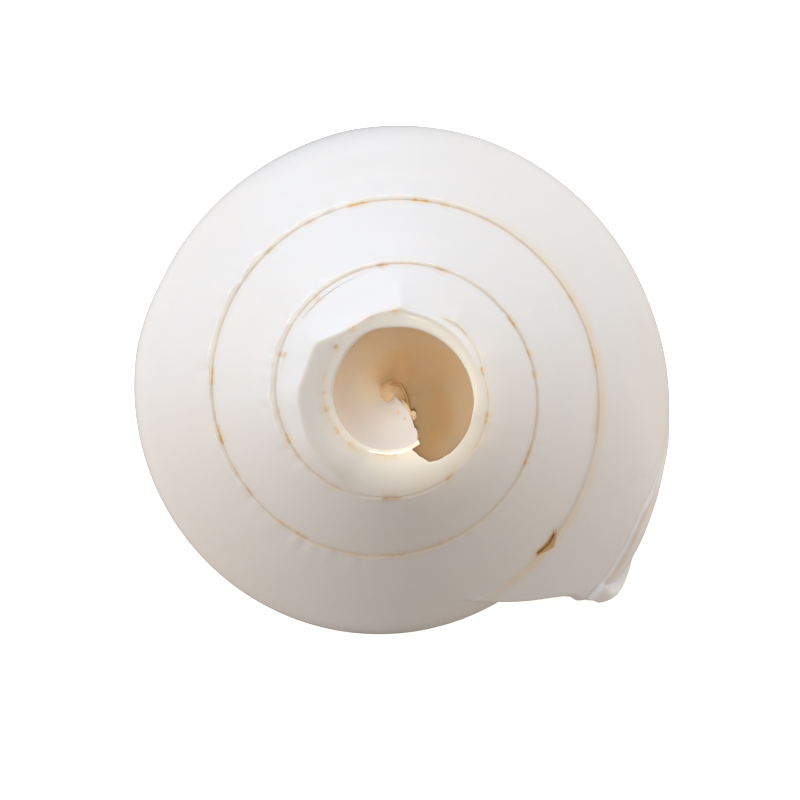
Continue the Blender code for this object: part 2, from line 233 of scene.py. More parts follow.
# The cut, and the flats ground on the ring's outer edge: the direction of each and its distance from the axis
CUT_TILT = math.radians(4.0)
CUT_TOWARDS = math.radians(225)
EDGE_ROUNDING = 0.3
RING_RADIUS = 13.6
RING_FLATS = ((12, 13.45), (40, 13.2), (68, 12.9), (116, 11.9), (163, 13.25), (195, 13.4), (228, 13.5))
FLATS_FADE = (-7.0, -0.5)
FLATS_FROM = (-3.0, -2.95)
FLAT_SHARE = 0.8
FLAT_FACING = 0.5  # how much a place must face the flat, as a cosine
EDGE_SLOPE = 0.7
RING_EDGE = 0.35  # how far the ring's outer edge is rounded, and where it is worn smooth
WORN_EDGE = 2.2
WORN_MIDDLE = math.radians(-70)
WORN_REACH = (1.15, 0.75)
NEWEST_IN_CUT = -1.98  # turns of wall newer than this stay below the cut
HOLE_FROM_TURN = -2.99  # the newest turn of wall whose inner side bounds the blow hole
SAW_SIDES = 300
# Rows of the block: in mm outwards from the hole's edge, from the ring's outer edge, and its straight sides
SAW_AT_HOLE = (-2.0, -0.5, 0.0, 0.04, 0.1, 0.18, 0.3, 0.6)
SAW_AT_EDGE = (-0.6, -0.4, -0.25, -0.1, 0.0, 0.1, 0.25, 0.5, 0.9, 1.5, 2.3, 3.3, 4.5)
SAW_SIDE = 12
SAW_HEIGHTS = (-9.0, 40.0)
RING_ROWS = 12

# Fineness of the mesh: rows of points in each stretch of growth, and columns down the wall
STRETCHES = (
    (-3.99, -3.5, 70), (-3.5, -3.0, 70), (-3.0, -2.5, 100), (-2.5, -2.0, 110), (-2.0, -1.5, 140),
    (-1.5, -1.0, 150), (-1.0, -0.5, 190), (-0.5, -0.08, 165), (-0.08, -0.02, 44), (-0.02, 0.0, 26))
BURIED_COLUMNS = (0.0, 0.4, 0.7, 0.88)
SEAM_COLUMNS = (0.0, 0.1, 0.2, 0.31, 0.42, 0.53, 0.64, 0.75, 0.87, 1.0, 1.15, 1.35, 1.65, 2.1, 2.8, 3.8, 5.0)
SEAM_TO_SHOULDER = (0.25, 0.5, 0.75, 1.0)
COLLAR_FROM = -0.08  # stages with columns along the collar
COLLAR_COLUMNS = (-0.7, -0.45, -0.25, -0.1, 0.05, 0.2, 0.35, 0.5, 0.75, 1.1, 1.6, 2.2, 2.9, 3.7, 4.6, 5.6)
COLLAR_T = 0.25  # none of them passes this t, and those that would are squeezed into this much before it
COLLAR_T_APART = 0.012
COLLAR_LEAD = 0.7  # the columns before them end this far above the collar, in mm
TO_COLLAR = (0.25, 0.5, 0.75, 0.93)
FINE_COLUMNS = (0.45, 17, 21)  # a t, and the numbers of columns between the shoulder and it, and on from it
HIDDEN_COLUMNS = (0.4, 9, 14)
BROKEN_COLUMNS = (0.4, 9, 36)
INNER_COLUMNS = np.linspace(0.0, 1.0, 26)
HIDDEN_UNTIL = -2.0  # turns older than this are hidden but for their tops
BROKEN_UNTIL = -3.5
BROKEN_FINE = 0.12  # turns behind the broken edge where the inner side is as fine as the outer
INNER_EVERY = 2  # the inner side has a row for every second row outside
LIP_ROWS = 9  # rows round the edge of the lip
TONGUE_TURNS = 0.003  # how far a stretch reaches into the next one, a little slimmer
TONGUE_SLIMMER = 0.08
TONGUE_T = (0.01, 0.99)
RING_SEAM = (-2.99, -2.43)  # turns where the seam lies in the ground face of the ring
RING_SEAM_SAMPLES = 400
NEAR_CREVICE = 0.7  # points of a crevice lie within this of its line, across the ledge
TURNS_APART = 0.5  # and belong to walls more than this apart
EDGE_SHARES = (0.25, 0.5, 0.75)  # where points are added between two that lie in a crevice
PROFILE_SAMPLES = 60
T_TINY = 0.002
MERGE_DISTANCE = 0.00001
SHARP_ANGLE = math.radians(40)

# Colours
PORCELAIN_COOL = (0.78, 0.78, 0.78, 1.0)
PORCELAIN_WARM = (0.795, 0.77, 0.74, 1.0)
STREAK = (0.75, 0.73, 0.7, 1.0)
BEVEL_CREAM = (0.86, 0.8, 0.68, 1.0)
# Painted highlight: white laid along the ledge's crest and the collar's upper edge, where they catch the
# light
HIGHLIGHT_WHITE = (0.9, 0.89, 0.87, 1.0)
# Painted shade: the inside is a darker white than the porcelain outside
INSIDE_SHADED_WHITE = (0.69, 0.66, 0.66, 1.0)
SEAM_BLUSH = (0.74, 0.6, 0.43, 1.0)
BAND_YELLOW = (0.82, 0.66, 0.44, 1.0)
PIT_ORANGE = (0.68, 0.42, 0.17, 1.0)
PIT_BROWN = (0.36, 0.17, 0.05, 1.0)
# Brown of the broken edge and the pillar, partly their own colour and partly painted shade
CORE_BROWN_AND_SHADE = (0.44, 0.25, 0.11, 1.0)
CREVICE_BROWN = (0.64, 0.52, 0.4, 1.0)
RIM_BLUSH = (0.72, 0.6, 0.48, 1.0)
STAIN_YELLOW = (0.78, 0.5, 0.13, 1.0)
STAIN_RED = (0.66, 0.36, 0.17, 1.0)
TAN_LIGHT = (0.93, 0.75, 0.54, 1.0)
TAN_DEEP = (0.92, 0.68, 0.42, 1.0)
RING_LIGHT = (0.75, 0.66, 0.57, 1.0)
RING_DARK = (0.71, 0.6, 0.49, 1.0)
GLOW_DEPTH = 0.002  # how far light passes through the shell, in metres
GLOW_RADII = (1.0, 0.6, 0.35)  # and how much of its red, green and blue

# Bands of colour: both flanks of each, from where it is absent to where it is full. Two lie across the ledge,
# in widths of it, and two across the collar, in mm.
BEVEL = ((-0.15, 0.05), (1.05, 0.75))
# The next band is a painted highlight along the crest of the ledge
CREST_HIGHLIGHT = ((0.8, 1.0), (1.25, 1.05))
# A painted highlight along the collar's upper edge
COLLAR_HIGHLIGHT = ((-0.35, 0.0), (0.35, 0.1))
COLLAR_BLUSH = ((0.1, 0.6), (1.5, 0.8))
# The same for colour beside a seam, by the distance from it in mm
WARMTH = (1.7, 0.1)
STAIN_CORE = (0.34, 0.1)
STAIN_BLUSH = (1.3, 0.1)
SEAM_LINE = (0.32, 0.05)
# The same for the outer side, by a mark that is 1 inside the wall, and for the pit, by its own mark
OUTER_SIDE = (0.2, 0.0)
PIT_FADE = (0.05, 0.4)
PIT_DEEPENS = (0.5, 0.95)
# How strongly some colours are laid on
BLUSH_SHARE = 0.35
BEVEL_SHARE = 0.6
LINE_SHARE = 0.1
LINE_ON_RING = 0.45

# Soft patches: how fine and how detailed they are, where they begin and end, and what those ends become
FRAYING = (1400.0, 2.0, 0.3, 0.7, -0.12, 0.12)
STAIN_PATCHES = (1100.0, 2.0, 0.3, 0.6, 0.6, 1.0)
LINE_PATCHES = (260.0, 3.0, 0.35, 0.65, 0.3, 0.8)
# The painted highlight on the crest breaks into these patches
CREST_HIGHLIGHT_PATCHES = (420.0, 2.0, 0.42, 0.56, 0.35, 1.0)
WARM_PATCHES = (150.0, 2.0, 0.3, 0.6, 0.5, 1.0)
COLLAR_PATCHES = (180.0, 2.0, 0.3, 0.6, 0.3, 0.8)
BAND_PATCHES = (220.0, 2.0, 0.3, 0.65, 0.45, 1.0)
TAN_PATCHES = (110.0, 3.0, 0.35, 0.7)
RING_PATCHES = (170.0, 4.0, 0.35, 0.65)

# The polish of the porcelain, with its clouds, streaks and ripples, then the rougher ground face of the ring
CLOUDS = (40.0, 1.5)
WARM_CLOUDS = (0.25, 0.75)
POLISH = (0.3, 0.7, 0.29, 0.38)
STREAKS = (0.3, 0.7, 0.0, 0.15)
RIPPLES = (130.0, 2.0)
RIPPLE_SHARES = (0.8, 0.2)
RIPPLE_BUMP = (0.25, 0.0006)
GRINDING = 1500.0
GROUND = (0.3, 0.7, 0.38, 0.5)
GROUND_BUMP = (0.1, 0.0002)

# Lines of growth, then arcs: how often they come in a turn and down it, their detail, roughness and share
GROWTH_LINES = ((50.0, 6.0, 2.0, 0.5, 0.35), (3.0, 60.0, 3.0, 0.6, 0.65))

# Stains along the seams: the turn of each, its length in mm, its strength and its hue, from yellow 0 to red 1
STAINS = (
    (-0.035, 7.0, 0.5, 0.5), (-0.069, 3.4, 1.0, 0.9), (-0.105, 9.0, 0.35, 0.45), (-0.218, 5.0, 0.6, 0.3),
    (-0.266, 1.4, 0.8, 0.5), (-0.393, 1.6, 0.7, 0.1), (-0.413, 3.0, 1.0, 0.1), (-0.465, 3.6, 0.9, 0.1),
    (-0.508, 1.8, 0.5, 0.5), (-0.549, 1.4, 0.7, 0.6), (-0.672, 3.0, 0.8, 0.2), (-0.726, 3.2, 1.0, 0.35),
    (-0.762, 2.5, 0.5, 0.4), (-0.785, 2.0, 0.5, 0.5), (-0.83, 2.5, 0.5, 0.6), (-0.849, 2.5, 0.7, 0.6),
    (-0.943, 3.5, 0.6, 0.6), (-0.985, 6.0, 0.4, 0.7), (-1.121, 4.0, 0.8, 0.6), (-1.212, 1.2, 0.8, 0.1),
    (-1.235, 1.5, 0.8, 0.1), (-1.277, 2.4, 0.9, 0.5), (-1.38, 2.0, 0.7, 0.6), (-1.451, 1.9, 0.9, 0.9),
    (-1.544, 1.3, 0.5, 1.0), (-1.634, 1.1, 0.7, 1.0), (-1.714, 2.0, 0.3, 0.7), (-1.751, 1.8, 0.8, 0.3),
    (-1.847, 2.0, 0.4, 0.8), (-1.935, 2.8, 1.0, 0.8), (-2.033, 1.5, 0.6, 0.9), (-2.076, 1.5, 0.8, 0.5),
    (-2.151, 2.0, 0.8, 0.2), (-2.231, 1.3, 1.0, 0.1), (-2.306, 1.0, 0.4, 0.4), (-2.439, 0.8, 0.8, 0.1),
    (-2.488, 1.0, 0.5, 0.7), (-2.529, 1.1, 0.8, 0.4), (-2.58, 0.9, 0.9, 0.5), (-2.65, 2.0, 0.3, 1.0),
    (-2.683, 0.5, 0.7, 0.6), (-2.72, 0.9, 0.8, 0.5), (-2.776, 1.2, 0.6, 0.4), (-2.824, 1.1, 0.8, 0.3),
    (-2.915, 3.6, 0.9, 0.3))
BLUSHES = (
    (-2.4, 0.15), (-1.1, 0.1), (-1.02, 0.3), (-0.9, 0.2), (-0.7, 0.05), (-0.2, 0.1), (-0.15, 0.6), (0.0, 0.8))
FAINT_PER_TURN = 14
FAINT_STAIN = 0.3
FAINT_HUES = (0.3, 0.7)
STAIN_FADES = (0.3, 0.65)  # where a stain thins out, as a share of its length

# How tan the inside is at these turns, and how far behind the lip it turns from white to tan
# The tan deepens down the hole: partly the inside's own colour, partly painted warm shade
INSIDE_TAN_AND_SHADE = ((-3.99, 0.08), (-3.85, 0.15), (-3.75, 0.35), (-3.66, 0.65), (-3.55, 0.9), (-3.45, 1.0))
LIP_PALE = (0.02, 0.35)
# The outer side counts as inside where a newer turn covers it: past this t, and this far behind the lip
COVERED_T = (0.29, 0.33)
COVERED_TURNS = (1.0, 1.02)

# Camera and light
VIEW_ACROSS = math.radians(2.61)
VIEW_UP = math.radians(-0.62)
CAMERA_DISTANCE = 0.7
CLIP_START = 0.05
LENS = 210.0
SENSOR = 36.0
LENS_SHIFT = (0.00675, -0.005875)
TENT_TOP = (2.25, 2.25, 2.36)
TENT_TOP_FROM = 0.7  # how high, out of 1, the bright top of the tent starts
TENT_LEFT = (1.42, 1.46, 1.5)  # above the middle, then below it
TENT_LEFT_LOW = (1.28, 1.11, 0.96)
TENT_RIGHT = (1.2, 1.22, 1.22)
TENT_RIGHT_LOW = (1.24, 1.09, 0.97)
TENT_BLEND = 0.3  # how far above and below the middle they blend
FLOOR_SIZE = 6.0
FLOOR_GLOW = 0.8
FLOOR_ROUGHNESS = 0.8
FLOOR_SHINE = 0.2
HOLE_LIGHT = (3.4, -2.0, 7.8)  # across and up in the cut, and the radius it lights, in mm
HOLE_LIGHT_PLACE = (-0.03, -0.006, 0.65)
HOLE_LIGHT_ENERGY = 26.0
HOLE_LIGHT_SIZE = 0.01
HOLE_LIGHT_COLOR = (1.0, 0.9, 0.68)
PALE = (0.95, 0.95, 0.95, 1.0)
WHITE = (1.0, 1.0, 1.0, 1.0)


def ramp(value, start, end):
    """0 before start, 1 after end, and smooth between them."""
    u = np.clip((value - start) / (end - start), 0.0, 1.0)
    return u * u * (3 - 2 * u)


def lerp(a, b, share):
    return a + (b - a) * share


def between(value, rise, fall):
    """1 between a rising and a falling flank, and 0 outside them."""
    return ramp(value, *rise) * (1 - ramp(value, *fall))


def look_up(at, table):
    """What a table of pairs gives at each place, straight between its rows."""
    return np.interp(at, *zip(*table))


def through(keys, values, at):
    """A smooth curve through values at keys, read at each place. Values may differ for each of them."""
    keys, at = np.asarray(keys, float), np.asarray(at, float)
    values = np.broadcast_to(np.asarray(values, float), (*at.shape, len(keys)))
    slopes = np.gradient(values, keys, axis=-1)
    i = np.clip(np.searchsorted(keys, at, side="right") - 1, 0, len(keys) - 2)
    width = keys[i + 1] - keys[i]
    u = (at - keys[i]) / width

    def read(array, index):
        return np.take_along_axis(array, index[..., None], axis=-1)[..., 0]

    return ((2 * u**3 - 3 * u**2 + 1) * read(values, i) + (u**3 - 2 * u**2 + u) * width * read(slopes, i)
            + (3 * u**2 - 2 * u**3) * read(values, i + 1) + (u**3 - u**2) * width * read(slopes, i + 1))


def chance(number):
    """A fixed number from 0 to 1 for each whole number."""
    return np.modf(np.abs(np.sin(number * 127.1 + 11.7) * 43758.5453))[0]


def ragged(along, step):
    """A broken line between 0 and 1 that jumps at each whole number."""
    whole = np.floor(along)
    return lerp(chance(whole), chance(whole + 1), ramp(along - whole, 1 - step, 1))


def wavy(along):
    return ragged(along, 1.0)


def seam_radius(turn):
    return SEAM_RADIUS * np.exp(GROWTH * turn - GROWTH_LOSS * turn * turn)


def crevice_radius(turn):
    return seam_radius(turn) + look_up(turn, SEAM_STRAYS)


def widest_radius(turn):
    after = np.minimum(turn, SWELLING_STOPS) + 1
    last = (after + np.hypot(after, LAST_TURN_ONSET)) / 2
    return (WIDEST_OVER_SEAM * seam_radius(after)
            * np.exp(-LAST_TURN_SLOWING * last + LAST_TURN_SWELLING * last * last))


def pillar_radius(z):
    heights, radii = zip(*reversed(PILLAR))
    return np.interp(z, heights, radii)


def profile_keys(turn):
    """Radius and height of the wall's outer side at each of T_KEYS, for each turn."""
    widest = widest_radius(turn) * look_up(turn, WAIST) + look_up(turn, WIDEST_STRAYS)
    begins = crevice_radius(turn) - SEAM_BITE * seam_radius(turn)
    start = begins, APEX_HEIGHT - SPIRE_SLOPE * begins
    ring = widest, APEX_HEIGHT - WIDEST_DEPTH * widest
    chord = ring[0] - start[0], ring[1] - start[1]
    shoulder = (start[0] + SHOULDER_PLACE * chord[0] - SHOULDER_BULGE * chord[1],
                start[1] + SHOULDER_PLACE * chord[1] + SHOULDER_BULGE * chord[0])
    corner = ramp(turn, *CORNER_TURNS)
    shoulder = lerp(shoulder[0], CORNER_RADIUS, corner), lerp(shoulder[1], CORNER_HEIGHT, corner)
    at_lip = ramp(turn, -1, 0)
    shallow = ramp(-turn, -SHALLOW_TURNS[0], -SHALLOW_TURNS[1])
    neck = [lerp(lerp(first, last, at_lip), early, shallow)
            for first, last, early in zip(NECK_AT_FIRST, NECK_AT_LAST, SHALLOW_NECK)]
    keys = [start, shoulder, ring]
    keys += [(radius * widest, APEX_HEIGHT - depth * widest) for radius, depth in (*BASE, neck)]
    opened, reached = ramp(turn, *CANAL_TURNS), ramp(turn, *CANAL_ONSET)
    for depth, early, (radius, height) in zip(PILLAR_DEPTHS, SHALLOW_DEPTHS, CANAL):
        z = lerp(APEX_HEIGHT - lerp(depth, early, shallow) * widest, height, reached)
        keys.append((lerp(PILLAR_BITE * pillar_radius(z), radius, opened), z))
    radii, heights = zip(*keys)
    return np.stack(radii, axis=-1), np.stack(heights, axis=-1)


def curve_points(turn, t):
    """The wall's plain outer side, as (radius, height), for each turn and t."""
    return np.stack([through(T_KEYS, keys, t) for keys in profile_keys(turn)], axis=-1)


def wall_thickness(turn, t):
    full = WALL * (widest_radius(turn) / widest_radius(0.0)) ** WALL_POWER
    full = lerp(look_up(turn, HOLE_WALL), full, ramp(turn, *HOLE_WALL_BLEND))
    at_seam = lerp(SEAM_THINNING, 1, np.clip(t / T_KEYS[1], 0, 1))
    at_canal = lerp(1, CANAL_THINNING, np.clip((t - T_KEYS[4]) / (T_KEYS[6] - T_KEYS[4]), 0, 1))
    return full * at_seam * at_canal


def upper_lengths(turn):
    """The length down the outer side at each of a row of fine steps of t, and at the crevice."""
    fine = np.linspace(0, T_KEYS[2], PROFILE_SAMPLES)
    shape = len(turn), PROFILE_SAMPLES
    points = curve_points(np.broadcast_to(turn[:, None], shape), np.broadcast_to(fine, shape))
    steps = np.linalg.norm(np.diff(points, axis=1), axis=-1)
    lengths = np.concatenate([np.zeros((len(turn), 1)), np.cumsum(steps, axis=1)], axis=1)
    crevice = np.array([np.interp(*item) for item in zip(crevice_radius(turn), points[..., 0], lengths)])
    return fine, lengths, crevice


def from_crevice(turn, t):
    """Distance along the outer side from the crevice of the seam, below nought where the wall is buried."""
    fine, lengths, crevice = upper_lengths(turn[:, 0])
    near = np.array([np.interp(at, fine, row) for at, row in zip(t, lengths)])
    beyond = lengths[:, -1:] * t / fine[-1]
    return np.where(t < fine[-1], near, beyond) - crevice[:, None]


def ledge_size(turn):
    """Width and height of the ledge, which is chipped in short straight pieces."""
    width, chipped = look_up(turn, LEDGE_WIDTHS), look_up(turn, CHIPPED)
    along = math.tau * seam_radius(turn) / GROWTH / CHIP_LENGTH
    left, left_up = (1 - chipped * ragged(along * finer, step) for finer, step in CHIP_STEPS)
    return width * left, LEDGE_STEEPNESS * width * left_up


def ledge(turn, distance):
    """How far the outer side stands out near its seam: a crevice, a bevel, and a swelling that fades."""
    width, height = ledge_size(turn)
    rise = np.clip(distance / width, 0, 1)
    fade = 1 - ramp(distance, width, width + LEDGE_FADES)
    return height * rise * fade - CREVICE_DEPTH * between(distance, *CREVICE_REACH) - pit(turn, distance)


def pit_width(turn):
    """How wide the three-cornered pit is at each turn, and how far along it that is."""
    share = (turn - PIT_TURNS[0]) / (PIT_TURNS[1] - PIT_TURNS[0])
    return PIT_WIDTH * np.interp(share, (0.0, PIT_WIDEST, 1.0), (PIT_TAPER, 1.0, PIT_TAPER)), share


def pit(turn, distance):
    """How deep the pit is at this distance from the crevice."""
    reach, share = pit_width(turn)
    across = 1 - ramp(distance, PIT_FLOOR * reach, reach + PIT_SPILL)
    return PIT_DEPTH * between(share, *PIT_ENDS) * across * ramp(distance, *PIT_BURIED)


def bead(t, distance):
    """How far the rolled rim stands out at this distance from the edge of the lip, and the dip behind it."""
    across = distance / BEAD_WIDTH
    round_top = (1 - np.clip(np.abs(2 * across - 1), 0, 1) ** BEAD_SHAPE) ** (1 / BEAD_SHAPE)
    fade = 1 - ramp(distance, BEAD_WIDTH, BEAD_WIDTH + DIP_REACH)
    dip = DIP_DEPTH * ramp(distance, 0.5 * BEAD_WIDTH, BEAD_WIDTH) * fade
    return look_up(t, BEAD_HEIGHTS) * round_top - dip


def collar(stage, distance):
    """How far the collar stands out, the distance from its upper edge, and how strong it is at this stage."""
    across = distance - look_up(stage, COLLAR_LINE)
    strength = ramp(stage, *COLLAR_END)
    rise = between(across, (0.0, COLLAR_STEP), COLLAR_FADES)
    groove = np.exp(-((across - COLLAR_GROOVE_AT) / COLLAR_GROOVE_WIDTH) ** 2)
    return strength * (COLLAR_HEIGHT * rise - COLLAR_GROOVE * groove), across, strength


def in_space(turn, radius, z):
    angle = LIP_ANGLE - math.tau * turn
    return np.stack([radius * np.cos(angle), radius * np.sin(angle), z], axis=-1)


def turns_at(stage, t):
    """The turn of each point of a row: the wall slants near its broken edge and near the lip."""
    stage = stage[:, None]
    lip, broken = through(*zip(*LIP), t), through(*zip(*BREAK), t)
    first = BREAK[0][1]
    jags = JAG_TURNS * (wavy(t * JAGS) + JAG_SHARE * wavy(t * JAG_FINER * JAGS) - (1 + JAG_SHARE) / 2)
    jags *= ramp(t, T_KEYS[3], T_KEYS[4])
    return (stage + lip * ramp(stage, -LIP_BLEND, 0)
            + (broken - first) * (1 - ramp(stage, first, first + BREAK_BLEND))
            + jags * (1 - ramp(stage, first, first + JAG_BLEND)))


def wall_sides(stage, t):
    """For rows at these stages and columns at these t: the marks of each point, and the wall's two sides.

    The marks are the turn, t, the place across the ledge out of its width, the distance from the edge of
    the collar, and the collar's strength.
    """
    turn = turns_at(stage, t)
    before, outer, after = (curve_points(turn, np.clip(t + step, 0, 1)) for step in (-T_TINY, 0, T_TINY))
    along = (after - before) / np.linalg.norm(after - before, axis=-1, keepdims=True)
    inward = np.stack([along[..., 1], -along[..., 0]], axis=-1)
    distance = from_crevice(turn, t)
    across_ledge = distance / ledge_size(turn)[0]
    inner = outer + inward * wall_thickness(turn, t)[..., None]
    fill_corner(turn, t, inner)
    inner[..., 0] = np.maximum(inner[..., 0], AXIS_GAP)
    from_lip = -stage[:, None] * math.tau * outer[..., 0]
    rim = between(t, RIM_START, RIM_END)
    stepped, across_collar, strength = collar(stage[:, None] + 0 * t, distance)
    stands_out = ledge(turn, distance) + rim * bead(t, from_lip) + stepped - worn(turn, outer)
    outer = outer - inward * stands_out[..., None]
    marks = np.stack([turn, t, across_ledge, across_collar, strength], axis=-1)
    return marks, in_space(turn, outer[..., 0], outer[..., 1]), in_space(turn, inner[..., 0], inner[..., 1])


def worn(turn, outer):
    """How far the outer side is worn back near the ring, in flats that make the ring a little polygonal."""
    angle = LIP_ANGLE - math.tau * turn
    back = np.zeros(turn.shape)
    for towards, distance in RING_FLATS:
        facing = np.cos(angle - math.radians(towards))
        back = np.maximum(back, np.where(facing > FLAT_FACING, RING_RADIUS - distance / np.maximum(
            facing, FLAT_FACING), 0))
    near = ramp(outer[..., 1], *FLATS_FADE) * (turn < NEWEST_IN_CUT) * ramp(turn, *FLATS_FROM)
    return FLAT_SHARE * back * near


def fill_corner(turn, t, inner):
    """Shell fills the corner between a turn and the one before it, near the top of the spire."""
    top, bottom = FILLED_DOWN_TO
    filled = ramp(turn, *FILLED_FROM) * ramp(inner[..., 1], bottom, top) * (t < T_KEYS[3])
    span = np.linspace(T_KEYS[2], T_KEYS[5], PROFILE_SAMPLES)
    for i in np.nonzero(filled.any(axis=1))[0]:
        previous = curve_points(np.full(PROFILE_SAMPLES, turn[i, 0] - 1), span)
        wall = np.interp(-inner[i, :, 1], -previous[:, 1], previous[:, 0]) - FILLED_OVERLAP
        inner[i, :, 0] -= filled[i] * np.maximum(0.0, inner[i, :, 0] - wall)


def put_in_scene(name, data):
    """A new object with this data."""
    made = bpy.data.objects.new(name, data)
    bpy.context.scene.collection.objects.link(made)
    return made


def read_each(items, name, kind, size=1):
    """One property of each of these items, as a flat array."""
    values = np.empty(size * len(items), kind)
    items.foreach_get(name, values)
    return values


def read_pairs(data, name):
    return read_each(data.attributes[name].data, "vector", np.float32, 2).reshape(-1, 2).T


def store_pairs(data, name, values):
    """Give each corner of the mesh's faces a pair of numbers."""
    data.attributes.new(name, "FLOAT2", "CORNER").data.foreach_set("vector", np.float32(values).ravel())


class Sheets:
    """Points with their place in the growth, and the faces between them, gathered for one closed piece."""

    def __init__(self):
        self.points, self.marks, self.faces, self.count = [], [], [], 0

    def add(self, points, marks, inside):
        self.points.append(points)
        self.marks.append(np.column_stack([marks, np.full(len(marks), inside)]))
        self.count += len(points)
        return np.arange(self.count - len(points), self.count)

    def quads(self, row, other):
        self.faces += np.stack([row[:-1], other[:-1], other[1:], row[1:]], axis=-1).tolist()

    def zip_up(self, row, other, row_at, other_at):
        """Triangles between two rows with unlike steps."""
        i = j = 0
        while i < len(row) - 1 or j < len(other) - 1:
            if j == len(other) - 1 or (i < len(row) - 1 and row_at[i + 1] <= other_at[j + 1]):
                self.faces.append([row[i], row[i + 1], other[j]])
                i += 1
            else:
                self.faces.append([row[i], other[j + 1], other[j]])
                j += 1

    def join(self, row, other, row_at, other_at):
        if len(row) == len(other):
            self.quads(row, other)
        else:
            self.zip_up(row, other, row_at, other_at)

    def finish(self, name):
        points, marks = np.concatenate(self.points) * MM, np.concatenate(self.marks)
        data = bpy.data.meshes.new(name)
        data.from_pydata(points.tolist(), [], self.faces)
        mesh = bmesh.new()
        mesh.from_mesh(data)
        bmesh.ops.recalc_face_normals(mesh, faces=mesh.faces)
        mesh.to_mesh(data)
        mesh.free()
        marks = marks[read_each(data.loops, "vertex_index", np.int32)]
        for layer, columns in (("growth", (0, 1)), ("wall", (2, 5)), ("rim", (3, 4))):
            store_pairs(data, layer, marks[:, columns])
        data.attributes.new("core", "FLOAT2", "CORNER")
        return put_in_scene(name, data)


def near_columns(fine, lengths, crevice, *more):
    """The t of columns close together near the crevice, and at more lengths down the outer side."""
    wanted = [np.outer(crevice, BURIED_COLUMNS), crevice[:, None] + SEAM_COLUMNS, *more]
    return np.array([np.interp(at, row, fine) for at, row in zip(np.concatenate(wanted, axis=1), lengths)])


def with_spread(near, past, middle, above, below):
    """The columns near the seam, followed by those past a t that are spread down the rest of the wall."""
    spread = np.concatenate([np.linspace(T_KEYS[1], middle, above)[1:], np.linspace(middle, 1.0, below)[1:]])
    spread = spread[spread > past]
    return np.concatenate([*near, np.broadcast_to(spread, (len(near[0]), len(spread)))], axis=1)


def place_columns(stage, spread):
    """The t of each column for rows at these stages: close together near the crevice, then spread out."""
    near = near_columns(*upper_lengths(stage))
    return with_spread([near, lerp(near[:, -1:], T_KEYS[1], np.array(SEAM_TO_SHOULDER))], T_KEYS[1], *spread)


def collar_columns(stage):
    """As place_columns, with columns close together along the edge of the collar."""
    fine, lengths, crevice = upper_lengths(stage + COLLAR_LAG)
    last = crevice[:, None] + SEAM_COLUMNS[-1]
    line = (crevice + look_up(stage, COLLAR_LINE))[:, None]
    near = near_columns(fine, lengths, crevice, lerp(last, line - COLLAR_LEAD, np.array(TO_COLLAR)),
                        line + COLLAR_COLUMNS)
    near = np.minimum(near, COLLAR_T - np.linspace(COLLAR_T_APART, 0.0, near.shape[1]))
    return with_spread([near], COLLAR_T, *FINE_COLUMNS)


def outer_columns(stage):
    middle = stage.mean()
    if middle > COLLAR_FROM:
        return collar_columns(stage)
    if middle < BROKEN_UNTIL:
        return place_columns(stage, BROKEN_COLUMNS)
    return place_columns(stage, HIDDEN_COLUMNS if middle < HIDDEN_UNTIL else FINE_COLUMNS)


def make_stretch(number):
    """One stretch of the wall as a closed piece that shares its end rows with the stretches beside it."""
    start, end, count = STRETCHES[number]
    stage = np.linspace(start, end, count + 1)
    sheets = Sheets()
    columns = outer_columns(stage)
    marks, outer, _ = wall_sides(stage, columns)
    outer_rows = [sheets.add(*item, 0.0) for item in zip(outer, marks)]
    inner_stage = stage[::INNER_EVERY]
    inner_columns = [fine if s < STRETCHES[0][0] + BROKEN_FINE else INNER_COLUMNS
                     for s, fine in zip(inner_stage, columns[::INNER_EVERY])]
    inner_rows = []
    for s, t in zip(inner_stage, inner_columns):
        marks, _, inner = wall_sides(np.array([s]), t[None, :])
        inner_rows.append(sheets.add(inner[0], marks[0], 1.0))
    for row, other in zip(outer_rows, outer_rows[1:]):
        sheets.quads(row, other)
    for item in zip(inner_rows, inner_rows[1:], inner_columns, inner_columns[1:]):
        sheets.join(*item)
    for side in (0, -1):
        ends = ([row[side] for row in rows] for rows in (outer_rows, inner_rows))
        sheets.zip_up(*ends, stage, inner_stage)
    sheets.join(outer_rows[0], inner_rows[0], columns[0], inner_columns[0])
    if number < len(STRETCHES) - 1:
        add_tongue(sheets, end, outer_rows[-1], inner_rows[-1], columns[-1], inner_columns[-1])
    else:
        round_lip(sheets, outer_rows, inner_rows, columns[-1], inner_columns[-1])
    return sheets.finish("stretch")


def add_tongue(sheets, end, outer_row, inner_row, columns, inner_columns):
    """A slightly slimmer end that reaches into the next stretch, so that they join without a crack."""
    stage = np.array([end + TONGUE_TURNS])
    marks, outer, inner = wall_sides(stage, np.clip(columns, *TONGUE_T)[None])
    top = sheets.add(lerp(outer[0], inner[0], TONGUE_SLIMMER), marks[0], 0.0)
    marks, outer, inner = wall_sides(stage, np.clip(inner_columns, *TONGUE_T)[None])
    below = sheets.add(lerp(inner[0], outer[0], TONGUE_SLIMMER), marks[0], 1.0)
    sheets.quads(outer_row, top)
    sheets.quads(inner_row, below)
    for side in (0, -1):
        sheets.faces.append([outer_row[side], top[side], below[side], inner_row[side]])
    sheets.join(top, below, columns, inner_columns)


